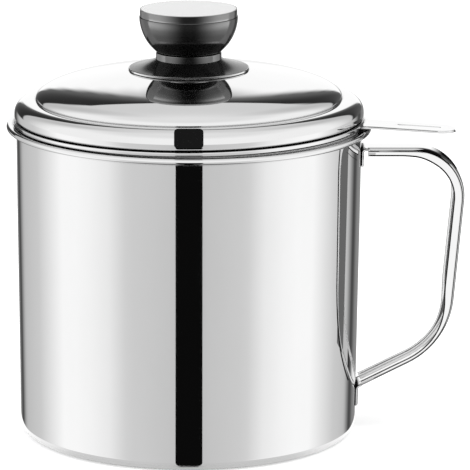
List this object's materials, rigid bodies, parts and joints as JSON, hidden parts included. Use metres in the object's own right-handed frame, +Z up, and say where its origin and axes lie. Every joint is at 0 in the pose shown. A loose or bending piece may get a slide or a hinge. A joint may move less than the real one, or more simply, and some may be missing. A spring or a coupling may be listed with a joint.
{
  "type": "grease container",
  "caption": "Polished steel pot for straining and keeping cooking fat, with a side handle, a lift-out perforated strainer with a tab, and a domed lid with a knob.",
  "frame": {"origin": "centre of the pot's flat base, where it stands", "axes": "+Z up along the pot's axis, +X out along the handle; the strainer's tab turns 8.2 degrees from +X towards -Y"},
  "size_m": [0.1726, 0.1372, 0.1618],
  "materials": {
    "polished_steel": "mirror polished",
    "satin_steel": "satin",
    "black_plastic": "satin gloss",
    "insert_brass": "turned",
    "zinc_steel": "zinc plated"
  },
  "bodies": {
    "pot": {"pot_cup": "polished_steel", "pot_handle": "polished_steel"},
    "strainer": {"strainer_collar": "polished_steel", "strainer_mesh": "satin_steel", "mesh_clamp_ring": "satin_steel", "strainer_tab": "polished_steel"},
    "lid": {"lid_shell": "polished_steel", "lid_skirt": "satin_steel", "knob_base": "black_plastic", "knob_bowl": "black_plastic", "knob_cap": "black_plastic", "knob_disc": "satin_steel", "knob_insert": "insert_brass", "knob_screw": "zinc_steel", "knob_washer": "zinc_steel", "knob_lock_washer": "zinc_steel"}
  },
  "joints": [
    {"name": "strainer_lift", "type": "slide", "parent": "pot", "child": "strainer", "axis": [0, 0, 1], "range_m": [0, 0.05]},
    {"name": "lid_lift", "type": "slide", "parent": "strainer", "child": "lid", "axis": [0, 0, 1], "range_m": [0, 0.04]}
  ]
}
